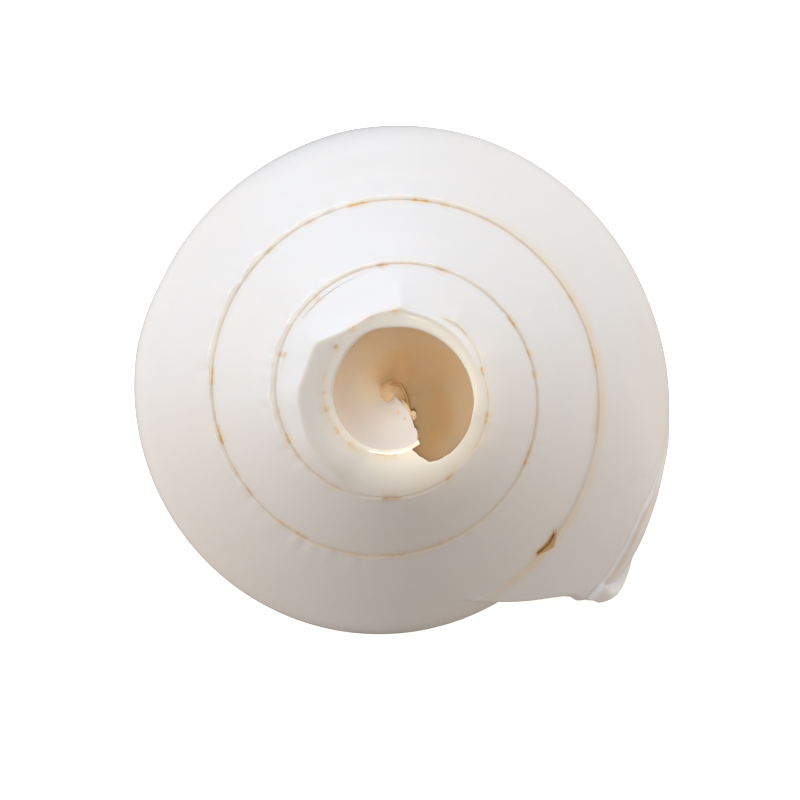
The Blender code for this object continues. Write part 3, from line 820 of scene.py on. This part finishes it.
def round_lip(sheets, outer_rows, inner_rows, columns, inner_columns):
    """Rows that carry the wall round the edge of the lip from its outer to its inner side."""
    marks, outer, inner = wall_sides(STRETCHES[-1][1] + np.array([-T_TINY, 0.0]), np.stack([columns] * 2))
    forward = outer[1] - outer[0]
    forward /= np.linalg.norm(forward, axis=-1, keepdims=True)
    middle, half = (outer[1] + inner[1]) / 2, (outer[1] - inner[1]) / 2
    reach = 2 * LIP_ROUNDING * np.linalg.norm(half, axis=-1, keepdims=True)
    rows = [outer_rows[-1]]
    for i in range(1, LIP_ROWS + 1):
        angle = math.pi * i / (LIP_ROWS + 1)
        points = middle + half * math.cos(angle) + forward * reach * math.sin(angle)
        rows.append(sheets.add(points, marks[1], i / (LIP_ROWS + 1)))
    for row, other in zip(rows, rows[1:]):
        sheets.quads(row, other)
        for side in (0, -1):
            sheets.faces.append([row[side], other[side], inner_rows[-1][side]])
    sheets.zip_up(rows[-1], inner_rows[-1], columns, inner_columns)


def plain_object(name, mesh):
    data = bpy.data.meshes.new(name)
    mesh.to_mesh(data)
    mesh.free()
    return put_in_scene(name, data)


def make_pillar():
    """The solid pillar on the axis: a turned shape."""
    (top, _), (bottom, _) = PILLAR[0], PILLAR[-1]
    heights = np.linspace(top, bottom, PILLAR_ROWS)
    mesh = bmesh.new()
    corners = [mesh.verts.new((r * MM, 0, z * MM)) for z, r in
               [(top, 0.0), *zip(heights, pillar_radius(heights)), (bottom, 0.0)]]
    for ends in zip(corners, corners[1:]):
        mesh.edges.new(ends)
    bmesh.ops.spin(mesh, geom=mesh.verts[:] + mesh.edges[:], cent=(0, 0, 0), axis=(0, 0, 1), angle=math.tau,
                   steps=PILLAR_SIDES, use_merge=True)
    bmesh.ops.remove_doubles(mesh, verts=mesh.verts, dist=MERGE_DISTANCE)
    bmesh.ops.recalc_face_normals(mesh, faces=mesh.faces)
    return mark_all(plain_object("pillar", mesh), PILLAR_MARK)


def make_tube(name, places, radii):
    """A closed tube through these places, with a radius at each, in mm."""
    curve = bpy.data.curves.new(name, "CURVE")
    curve.dimensions = "3D"
    curve.bevel_depth = MM
    curve.bevel_resolution = TUBE_FINENESS
    curve.use_fill_caps = True
    line = curve.splines.new("POLY")
    line.points.add(len(places) - 1)
    for point, place, radius in zip(line.points, places, radii):
        point.co = (*(place * MM), 1.0)
        point.radius = radius
    tube = put_in_scene(name, curve)
    data = bpy.data.meshes.new_from_object(tube.evaluated_get(bpy.context.evaluated_depsgraph_get()))
    bpy.data.objects.remove(tube)
    mesh = bmesh.new()
    mesh.from_mesh(data)
    bmesh.ops.remove_doubles(mesh, verts=mesh.verts, dist=MERGE_DISTANCE)
    return plain_object(name, mesh)


def make_fold(t):
    """A low ridge that winds on the pillar, tapered at both ends."""
    turn = np.linspace(*FOLD_TURNS, FOLD_POINTS)
    points = curve_points(turn, np.full(FOLD_POINTS, t))
    swelling = np.sqrt(np.clip(np.sin(math.pi * np.linspace(0, 1, FOLD_POINTS)), 0, 1))
    places = in_space(turn, points[:, 0], points[:, 1])
    return mark_all(make_tube("fold", places, FOLD_RADIUS * lerp(FOLD_END, 1, swelling)), FOLD_MARK)


def make_curl(route, mark):
    """A thin ridge where the broken edge curls round the worn top of the pillar."""
    along = np.linspace(0, len(route) - 1, CURL_POINTS)
    *place, radius = [through(np.arange(len(route)), values, along) for values in zip(*route)]
    return mark_all(make_tube("curl", np.stack(place, axis=-1), radius), mark)


def make_lump(x, y, z, radius):
    mesh = bmesh.new()
    bmesh.ops.create_icosphere(mesh, subdivisions=LUMP_FINENESS, radius=radius * MM)
    bmesh.ops.scale(mesh, verts=mesh.verts, vec=LUMP_SQUASH)
    bmesh.ops.translate(mesh, verts=mesh.verts, vec=Vector((x, y, z)) * MM)
    return mark_all(plain_object("lump", mesh), EDGE_MARK)


def mark_all(thing, mark):
    """Give a whole piece one turn, t and darkness (partly painted shade), as part of the inside, far from
    seam and lip.
    """
    turn, t, brown_and_shade = mark
    for name, pair in (("growth", (turn, t)), ("wall", (LEDGE_FADES, 1)), ("rim", (LEDGE_FADES, 0)),
                       ("core", (brown_and_shade, 1))):
        store_pairs(thing.data, name, np.tile(np.float32(pair), len(thing.data.loops)))
    return thing


def cut_normal():
    tilt = Matrix.Rotation(CUT_TILT, 3, Vector((-math.sin(CUT_TOWARDS), math.cos(CUT_TOWARDS), 0)))
    return np.array(tilt @ Vector((0, 0, 1)))


def cut_height(x, y):
    """Height of the plane of the cut over a point of the shell's own frame."""
    normal = cut_normal()
    return -(normal[0] * x + normal[1] * y) / normal[2]


def crossing(turn, side):
    """The radius where one side of the wall meets the plane of the cut, or 0 where it lies below."""
    t = np.broadcast_to(np.linspace(0, T_KEYS[4], PROFILE_SAMPLES), (len(turn), PROFILE_SAMPLES))
    points = wall_sides(turn, t)[1 + side]
    above = points[..., 2] - cut_height(points[..., 0], points[..., 1])
    radii = np.hypot(points[..., 0], points[..., 1])
    return np.array([np.interp(0, -a, r) if a[0] > 0 else 0.0 for a, r in zip(above, radii)])


def make_saw():
    """The block that the spire is ground away with. It is flat, and rounds off both edges of the ring."""
    angle = np.linspace(0, math.tau, SAW_SIDES, endpoint=False)
    newest = (LIP_ANGLE - angle) / math.tau
    newest -= np.ceil(newest - NEWEST_IN_CUT)
    hole = crossing(newest + np.floor(HOLE_FROM_TURN - newest), 1)
    rim = np.maximum(crossing(newest, 0), crossing(newest - 1, 0))
    away = np.abs((angle - WORN_MIDDLE + math.pi) % math.tau - math.pi)
    edge = lerp(RING_EDGE, WORN_EDGE, 1 - ramp(away, WORN_REACH[1], WORN_REACH[0]))
    rows = []
    for into in SAW_AT_HOLE:
        rounding = -EDGE_ROUNDING + math.sqrt(max(0, EDGE_ROUNDING**2 - max(0, EDGE_ROUNDING - into) ** 2))
        rows.append((hole + into, rounding if into >= 0 else -EDGE_ROUNDING))
    rows += [(lerp(hole + SAW_AT_HOLE[-1], rim + SAW_AT_EDGE[0], share), 0.0)
             for share in np.linspace(0, 1, RING_ROWS)[1:]]
    rows += [(rim + out, 0.0) for out in SAW_AT_EDGE[1:]]
    rows = [(radius, height - EDGE_SLOPE * (radius - rim + np.hypot(radius - rim, edge)) / 2)
            for radius, height in rows]
    rows += [(rim + SAW_SIDE, np.full(SAW_SIDES, height)) for height in SAW_HEIGHTS]
    mesh = bmesh.new()
    rings = []
    for radius, height in rows:
        x, y = radius * np.cos(angle), radius * np.sin(angle)
        z = cut_height(x, y) + height
        rings.append([mesh.verts.new((a * MM, b * MM, c * MM)) for a, b, c in zip(x, y, z)])
    for ring, other in zip(rings, rings[1:]):
        for i in range(SAW_SIDES):
            j = (i + 1) % SAW_SIDES
            mesh.faces.new((ring[i], ring[j], other[j], other[i]))
    mesh.faces.new(rings[0])
    mesh.faces.new(rings[-1])
    bmesh.ops.recalc_face_normals(mesh, faces=mesh.faces)
    for face in mesh.faces:
        face.material_index = 1
    return plain_object("saw", mesh)


def combine(target, others, operation):
    for other in others:
        modifier = target.modifiers.new(other.name, "BOOLEAN")
        modifier.object = other
        modifier.operation = operation
        modifier.solver = "MANIFOLD"


def make_shell():
    base, *stretches = [make_stretch(i) for i in range(len(STRETCHES))]
    added = [*stretches, make_pillar(), make_curl(CURL, CURL_MARK), make_curl(EDGE_CURL, EDGE_MARK),
             *(make_lump(*lump) for lump in LUMPS), *(make_fold(t) for t in FOLDS)]
    saw = make_saw()
    combine(base, added, "UNION")
    combine(base, [saw], "DIFFERENCE")
    data = bpy.data.meshes.new_from_object(base.evaluated_get(bpy.context.evaluated_depsgraph_get()))
    for thing in (base, *added, saw):
        bpy.data.objects.remove(thing)
    keep_largest(data)
    data.uv_layers.remove(data.uv_layers["UVMap"])
    data.name = "conch_shell"
    data.shade_smooth()
    data.set_sharp_from_angle(angle=SHARP_ANGLE)
    data.transform(LYING)
    return put_in_scene("conch_shell", data)


def keep_largest(data):
    """Leave only the largest connected body of the mesh."""
    mesh = bmesh.new()
    mesh.from_mesh(data)
    bodies, left = [], set(mesh.verts)
    while left:
        body, front = [], [left.pop()]
        while front:
            at = front.pop()
            body.append(at)
            reached = {edge.other_vert(at) for edge in at.link_edges} & left
            left -= reached
            front += reached
        bodies.append(body)
    bodies.remove(max(bodies, key=len))
    bmesh.ops.delete(mesh, geom=[vertex for body in bodies for vertex in body], context="VERTS")
    mesh.to_mesh(data)
    mesh.free()


def find_crevices(data):
    """Points along the crevices and their turns: the points where the outer sides of two turns meet."""
    corners = read_each(data.loops, "vertex_index", np.int32)
    sizes, slots = (read_each(data.polygons, name, np.int32) for name in ("loop_total", "material_index"))
    turn, _ = read_pairs(data, "growth")
    across_ledge, inside = read_pairs(data, "wall")
    outside = np.repeat(slots == 0, sizes) & (inside == 0)
    newest, oldest, nearest = (np.full(len(data.vertices), start) for start in (-np.inf, np.inf, np.inf))
    np.maximum.at(newest, corners[outside], turn[outside])
    np.minimum.at(oldest, corners[outside], turn[outside])
    np.minimum.at(nearest, corners[outside], np.abs(across_ledge[outside]))
    met = (newest - oldest > TURNS_APART) & (nearest < NEAR_CREVICE)
    places = np.array([vertex.co for vertex in data.vertices])
    points, turns = [places[met]], [newest[met]]
    ends = np.array([edge.vertices for edge in data.edges])
    ends = ends[met[ends].all(axis=1)]
    for share in EDGE_SHARES:
        points.append(lerp(places[ends[:, 0]], places[ends[:, 1]], share))
        turns.append(lerp(newest[ends[:, 0]], newest[ends[:, 1]], share))
    return points, turns


def ring_seam():
    """Points along the seam that shows in the ground face of the ring, and their turns."""
    turns = np.linspace(*RING_SEAM, RING_SEAM_SAMPLES)
    radius = crossing(turns - 1, 0)
    flat = in_space(turns, radius, np.zeros(len(turns)))
    flat[:, 2] = cut_height(flat[:, 0], flat[:, 1])
    return np.array([LYING @ Vector(point * MM) for point in flat]), turns


def pit_at(places):
    """How deep in the pit behind the lip each place is, and how yellowed by the band."""
    turn = (LIP_ANGLE - np.arctan2(places[:, 1], places[:, 0])) / math.tau
    turn -= np.ceil(turn)
    reach, share = pit_width(turn)
    out = np.hypot(places[:, 0], places[:, 1]) - crevice_radius(turn)
    near = np.abs(places[:, 2] - APEX_HEIGHT + SPIRE_SLOPE * crevice_radius(turn)) < PIT_NEAR
    deep = lerp(PIT_PALE, 1, 1 - ramp(out / reach, *PIT_MIDDLE))
    pit_here = near * deep * between(share, *PIT_COLOR_ENDS) * between(out / reach, *PIT_COLOR_SIDES)
    return pit_here, near * look_up(turn, BANDS) * between(out, *BAND_EDGES)


def mark_seams(data):
    """Give each point its distance from the nearest seam in mm, and the colours that depend on it."""
    points, turns = find_crevices(data)
    on_ring = ring_seam()
    points, turns = np.concatenate([*points, on_ring[0]]), np.concatenate([*turns, on_ring[1]])
    tree = kdtree.KDTree(len(points))
    for i, point in enumerate(points):
        tree.insert(point, i)
    tree.balance()
    found = [tree.find(vertex.co) for vertex in data.vertices]
    turn = turns[[item[1] for item in found]]
    strength, hue = stain_at(turn)
    unlaid = LYING.inverted()
    pit_here, band = pit_at(np.array([unlaid @ vertex.co for vertex in data.vertices]) / MM)
    for name, values in (("from_seam", np.array([item[2] for item in found]) / MM), ("stain", strength),
                         ("hue", hue), ("blush", look_up(turn, BLUSHES)), ("pit", pit_here), ("band", band)):
        data.attributes.new(name, "FLOAT", "POINT").data.foreach_set("value", values.astype(np.float32))


def stain_at(turn):
    """How stained the crevice is at each turn, and the hue: dashes with nearly clean shell between them."""
    strength = FAINT_STAIN * wavy(turn * FAINT_PER_TURN)
    hue = lerp(*FAINT_HUES, wavy(turn * FAINT_PER_TURN / 2))
    for middle, length, dark, its_hue in STAINS:
        away = np.abs(turn - middle) * math.tau * seam_radius(middle) / length
        here = dark * (1 - ramp(away, *STAIN_FADES))
        hue = lerp(hue, its_hue, here)
        strength = np.maximum(strength, here)
    return strength, hue


class Nodes:
    """Places the nodes of a material or a group, and joins them."""

    def __init__(self, tree):
        self.tree = tree

    def add(self, kind, inputs=None, **settings):
        node = self.tree.nodes.new(kind)
        for name, value in settings.items():
            setattr(node, name, value)
        for name, value in (inputs or {}).items():
            if isinstance(value, bpy.types.NodeSocket):
                self.tree.links.new(value, node.inputs[name])
            else:
                node.inputs[name].default_value = value
        return node

    def math(self, operation, a, b, clamp=False):
        return self.add("ShaderNodeMath", {0: a, 1: b}, operation=operation, use_clamp=clamp).outputs[0]

    def times(self, a, b, clamp=False):
        return self.math("MULTIPLY", a, b, clamp)

    def between(self, value, rise, fall):
        """1 between a rising and a falling flank, and 0 outside them."""
        return self.times(self.span(value, *rise), self.span(value, *fall))

    def span(self, value, start, end, low=0.0, high=1.0):
        """Value from start to end becomes low to high, smoothly."""
        inputs = {"Value": value, "From Min": start, "From Max": end, "To Min": low, "To Max": high}
        return self.add("ShaderNodeMapRange", inputs, interpolation_type="SMOOTHSTEP").outputs["Result"]

    def blend(self, share, a, b):
        return self.add("ShaderNodeMix", {"Factor": share, 6: a, 7: b}, data_type="RGBA").outputs[2]

    def attribute(self, name, output="Fac"):
        return self.add("ShaderNodeAttribute", attribute_name=name).outputs[output]

    def pair(self, name):
        """The two numbers that a corner has under this name."""
        return self.add("ShaderNodeSeparateXYZ", {0: self.attribute(name, "Vector")}).outputs[:2]

    @functools.cached_property
    def position(self):
        return self.add("ShaderNodeNewGeometry").outputs["Position"]

    def noise(self, scale, detail=3.0, roughness=0.5, vector=None):
        vector = self.position if vector is None else vector
        inputs = {"Vector": vector, "Scale": scale, "Detail": detail, "Roughness": roughness}
        return self.add("ShaderNodeTexNoise", inputs).outputs["Fac"]

    def patches(self, scale, detail, *limits):
        """Soft patches between two values."""
        return self.span(self.noise(scale, detail), *limits)

    def grain(self, height, strength, distance):
        bump = self.add("ShaderNodeBump", {"Height": height, "Strength": strength, "Distance": distance})
        return bump.outputs["Normal"]


def new_material(name):
    material = bpy.data.materials.new(name)
    material.use_nodes = True
    nodes = Nodes(material.node_tree)
    return material, nodes, material.node_tree.nodes["Principled BSDF"]


def set_surface(nodes, surface, color, roughness, normal, **constants):
    """Join the colour, roughness and grain of a shell surface, with a little light passing through it."""
    for name, value in (("Base Color", color), ("Roughness", roughness), ("Normal", normal)):
        nodes.tree.links.new(value, surface.inputs[name])
    for name, value in {"Subsurface Scale": GLOW_DEPTH, "Subsurface Radius": GLOW_RADII, **constants}.items():
        surface.inputs[name].default_value = value


def growth_lines(nodes):
    """Faint lines of growth across the whorls and arcs along them."""
    turn, down = nodes.pair("growth")
    parts = []
    for per_turn, per_t, detail, roughness, share in GROWTH_LINES:
        place = {0: nodes.times(turn, per_turn), 1: nodes.times(down, per_t)}
        lines = nodes.noise(1.0, detail, roughness, nodes.add("ShaderNodeCombineXYZ", place).outputs[0])
        parts.append(nodes.times(lines, share))
    return nodes.math("ADD", *parts)


def seam_stain_group():
    """What lies in the crevice of a seam: sharp stains, the blush round them, and a pale brown line."""
    group = bpy.data.node_groups.new("seam stain", "ShaderNodeTree")
    nodes = Nodes(group)
    distance, strength, hue = (nodes.attribute(name) for name in ("from_seam", "stain", "hue"))
    frayed = nodes.math("ADD", distance, nodes.patches(*FRAYING))
    blush = nodes.times(nodes.span(frayed, *STAIN_BLUSH), BLUSH_SHARE)
    dark = nodes.math("MAXIMUM", nodes.span(frayed, *STAIN_CORE), blush)
    stain = nodes.times(dark, nodes.times(strength, nodes.patches(*STAIN_PATCHES)), True)
    line = nodes.times(nodes.span(frayed, *SEAM_LINE), nodes.patches(*LINE_PATCHES))
    results = (("Stain", "Float", stain), ("Line", "Float", line),
               ("Color", "Color", nodes.blend(hue, STAIN_YELLOW, STAIN_RED)))
    for name, kind, _ in results:
        group.interface.new_socket(name, in_out="OUTPUT", socket_type="NodeSocket" + kind)
    leave = nodes.add("NodeGroupOutput")
    for name, _, value in results:
        group.links.new(value, leave.inputs[name])
    return group


def polished_shell(stain):
    """The porcelain of the shell, inside and out, with painted highlights on its edges and painted shade
    inside.
    """
    material, nodes, surface = new_material("polished_shell")
    across_ledge, inside = nodes.pair("wall")
    across_collar, collar_strength = nodes.pair("rim")
    seam = nodes.add("ShaderNodeGroup", node_tree=stain)
    lines, pit = growth_lines(nodes), nodes.attribute("pit")
    outside = nodes.span(inside, *OUTER_SIDE)
    bevel = nodes.times(nodes.between(across_ledge, *BEVEL), outside)
    # Painted highlight along the crest of the ledge, in patches
    crest_highlight = nodes.times(nodes.between(across_ledge, *CREST_HIGHLIGHT), nodes.patches(*CREST_HIGHLIGHT_PATCHES))
    warm = nodes.times(nodes.span(nodes.attribute("from_seam"), *WARMTH), nodes.attribute("blush"))
    # Painted highlight along the upper edge of the collar
    collar_highlight = nodes.between(across_collar, *COLLAR_HIGHLIGHT)
    collar_blush = nodes.times(nodes.between(across_collar, *COLLAR_BLUSH), collar_strength)
    tan = nodes.blend(nodes.patches(*TAN_PATCHES), TAN_LIGHT, TAN_DEEP)
    clouds = nodes.noise(*CLOUDS)
    color = nodes.blend(nodes.span(clouds, *WARM_CLOUDS), PORCELAIN_COOL, PORCELAIN_WARM)
    for share, laid_over in (
            (nodes.span(lines, *STREAKS), STREAK),
            (nodes.times(bevel, BEVEL_SHARE), BEVEL_CREAM),
            (nodes.times(crest_highlight, outside), HIGHLIGHT_WHITE),
            (nodes.times(warm, nodes.patches(*WARM_PATCHES)), SEAM_BLUSH),
            (nodes.times(seam.outputs["Line"], LINE_SHARE), CREVICE_BROWN),
            (nodes.times(collar_highlight, collar_strength), HIGHLIGHT_WHITE),
            (nodes.times(collar_blush, nodes.patches(*COLLAR_PATCHES)), RIM_BLUSH),
            (seam.outputs["Stain"], seam.outputs["Color"]),
            (nodes.times(nodes.attribute("band"), nodes.patches(*BAND_PATCHES)), BAND_YELLOW),
            (nodes.span(pit, *PIT_FADE), nodes.blend(nodes.span(pit, *PIT_DEEPENS), PIT_ORANGE, PIT_BROWN)),
            # Painted shade: a darker white on the inner sides
            (inside, INSIDE_SHADED_WHITE),
            # Tan deeper in, partly its own colour and partly painted warm shade, and brown that is partly
            # painted shade
            (nodes.attribute("depth"), nodes.blend(nodes.pair("core")[0], tan, CORE_BROWN_AND_SHADE))):
        color = nodes.blend(share, color, laid_over)
    ripples = nodes.math("ADD", *map(nodes.times, (nodes.noise(*RIPPLES), lines), RIPPLE_SHARES))
    roughness, normal = nodes.span(clouds, *POLISH), nodes.grain(ripples, *RIPPLE_BUMP)
    set_surface(nodes, surface, color, roughness, normal,
                **{"Coat Weight": 0.25, "Coat Roughness": 0.12, "Subsurface Weight": 0.25})
    return material


def ground_ring(stain):
    """The face that the saw and the stone left round the blow hole."""
    material, nodes, surface = new_material("ground_ring")
    seam = nodes.add("ShaderNodeGroup", node_tree=stain)
    color = nodes.blend(nodes.patches(*RING_PATCHES), RING_LIGHT, RING_DARK)
    color = nodes.blend(nodes.times(seam.outputs["Line"], LINE_ON_RING), color, CREVICE_BROWN)
    color = nodes.blend(seam.outputs["Stain"], color, seam.outputs["Color"])
    grinding = nodes.noise(GRINDING)
    roughness, normal = nodes.span(grinding, *GROUND), nodes.grain(grinding, *GROUND_BUMP)
    set_surface(nodes, surface, color, roughness, normal, **{"Subsurface Weight": 0.15})
    return material


def mark_tan_and_shade(data):
    """How tan the shell is at each corner, partly its own colour and partly painted warm shade: 0 outside,
    and 1 deep inside.
    """
    turn, t = read_pairs(data, "growth")
    _, inside = read_pairs(data, "wall")
    covered = ramp(t, *COVERED_T) * ramp(-turn, *COVERED_TURNS)
    deep = np.maximum(inside, covered) * ramp(-turn, *LIP_PALE)
    deep *= look_up(turn, INSIDE_TAN_AND_SHADE)
    data.attributes.new("depth", "FLOAT", "CORNER").data.foreach_set("value", deep.astype(np.float32))


def make_camera():
    """The camera looks into the blow hole, nearly along the shell's axis."""
    right = Vector((math.cos(VIEW_ACROSS), 0, math.sin(VIEW_ACROSS)))
    back = Vector((-math.cos(VIEW_UP) * math.sin(VIEW_ACROSS), -math.sin(VIEW_UP),
                   math.cos(VIEW_UP) * math.cos(VIEW_ACROSS)))
    up = back.cross(right)
    turned = Matrix((right, up, back)).transposed().to_4x4()
    turned.translation = back * CAMERA_DISTANCE
    data = bpy.data.cameras.new("camera")
    data.lens, data.sensor_width = LENS, SENSOR
    data.shift_x, data.shift_y = LENS_SHIFT
    data.clip_start = CLIP_START
    camera = put_in_scene("camera", data)
    camera.matrix_world = LYING @ turned
    bpy.context.scene.camera = camera


def make_hole_light():
    """A narrow soft light that reaches down the blow hole."""
    x, y, radius = HOLE_LIGHT
    data = bpy.data.lights.new("hole light", "SPOT")
    data.energy = HOLE_LIGHT_ENERGY
    data.color = HOLE_LIGHT_COLOR
    data.shadow_soft_size = HOLE_LIGHT_SIZE
    data.spot_size = 2 * math.atan(radius * MM / HOLE_LIGHT_PLACE[2])
    data.spot_blend = 1.0
    light = put_in_scene("hole light", data)
    light.location = LYING @ Vector(HOLE_LIGHT_PLACE)
    towards = LYING @ Vector((x * MM, y * MM, 0)) - light.location
    light.rotation_euler = towards.to_track_quat("-Z", "Y").to_euler()


def make_studio():
    """A soft tent with a bright top and bright sides, over a plain pale floor."""
    world = bpy.data.worlds.new("studio")
    world.use_nodes = True
    nodes = Nodes(world.node_tree)
    direction = nodes.add("ShaderNodeTexCoord").outputs["Generated"]
    x, _, z = nodes.add("ShaderNodeSeparateXYZ", {0: direction}).outputs
    above = nodes.add("ShaderNodeMapRange", {"Value": z, "From Min": TENT_TOP_FROM, "From Max": 1.0})
    left, right = nodes.times(x, -1.0, True), nodes.times(x, 1.0, True)
    high, low = nodes.span(z, -TENT_BLEND, TENT_BLEND), nodes.span(z, TENT_BLEND, -TENT_BLEND)
    tent = (0.0, 0.0, 0.0)
    for color, share in ((TENT_TOP, above.outputs["Result"]), (TENT_LEFT, nodes.times(left, high)),
                         (TENT_LEFT_LOW, nodes.times(left, low)), (TENT_RIGHT, nodes.times(right, high)),
                         (TENT_RIGHT_LOW, nodes.times(right, low))):
        part = nodes.add("ShaderNodeVectorMath", {0: color, "Scale": share}, operation="SCALE").outputs[0]
        tent = nodes.add("ShaderNodeVectorMath", {0: tent, 1: part}, operation="ADD").outputs[0]
    world.node_tree.links.new(tent, world.node_tree.nodes["Background"].inputs["Color"])
    bpy.context.scene.world = world
    bpy.context.scene.view_settings.view_transform = "Standard"
    make_hole_light()
    mesh = bmesh.new()
    bmesh.ops.create_grid(mesh, x_segments=1, y_segments=1, size=FLOOR_SIZE / 2)
    floor = plain_object("floor", mesh)
    material, _, surface = new_material("pale_floor")
    for name, value in (("Base Color", PALE), ("Roughness", FLOOR_ROUGHNESS),
                        ("Specular IOR Level", FLOOR_SHINE), ("Emission Color", WHITE),
                        ("Emission Strength", FLOOR_GLOW)):
        surface.inputs[name].default_value = value
    floor.data.materials.append(material)
    floor.visible_diffuse = floor.visible_glossy = floor.visible_shadow = False


def main():
    shell = make_shell()
    mark_seams(shell.data)
    mark_tan_and_shade(shell.data)
    stain = seam_stain_group()
    shell.data.materials.clear()
    for material in (polished_shell(stain), ground_ring(stain)):
        shell.data.materials.append(material)
    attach(shell, "root")
    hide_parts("shell")
    make_camera()
    make_studio()


main()
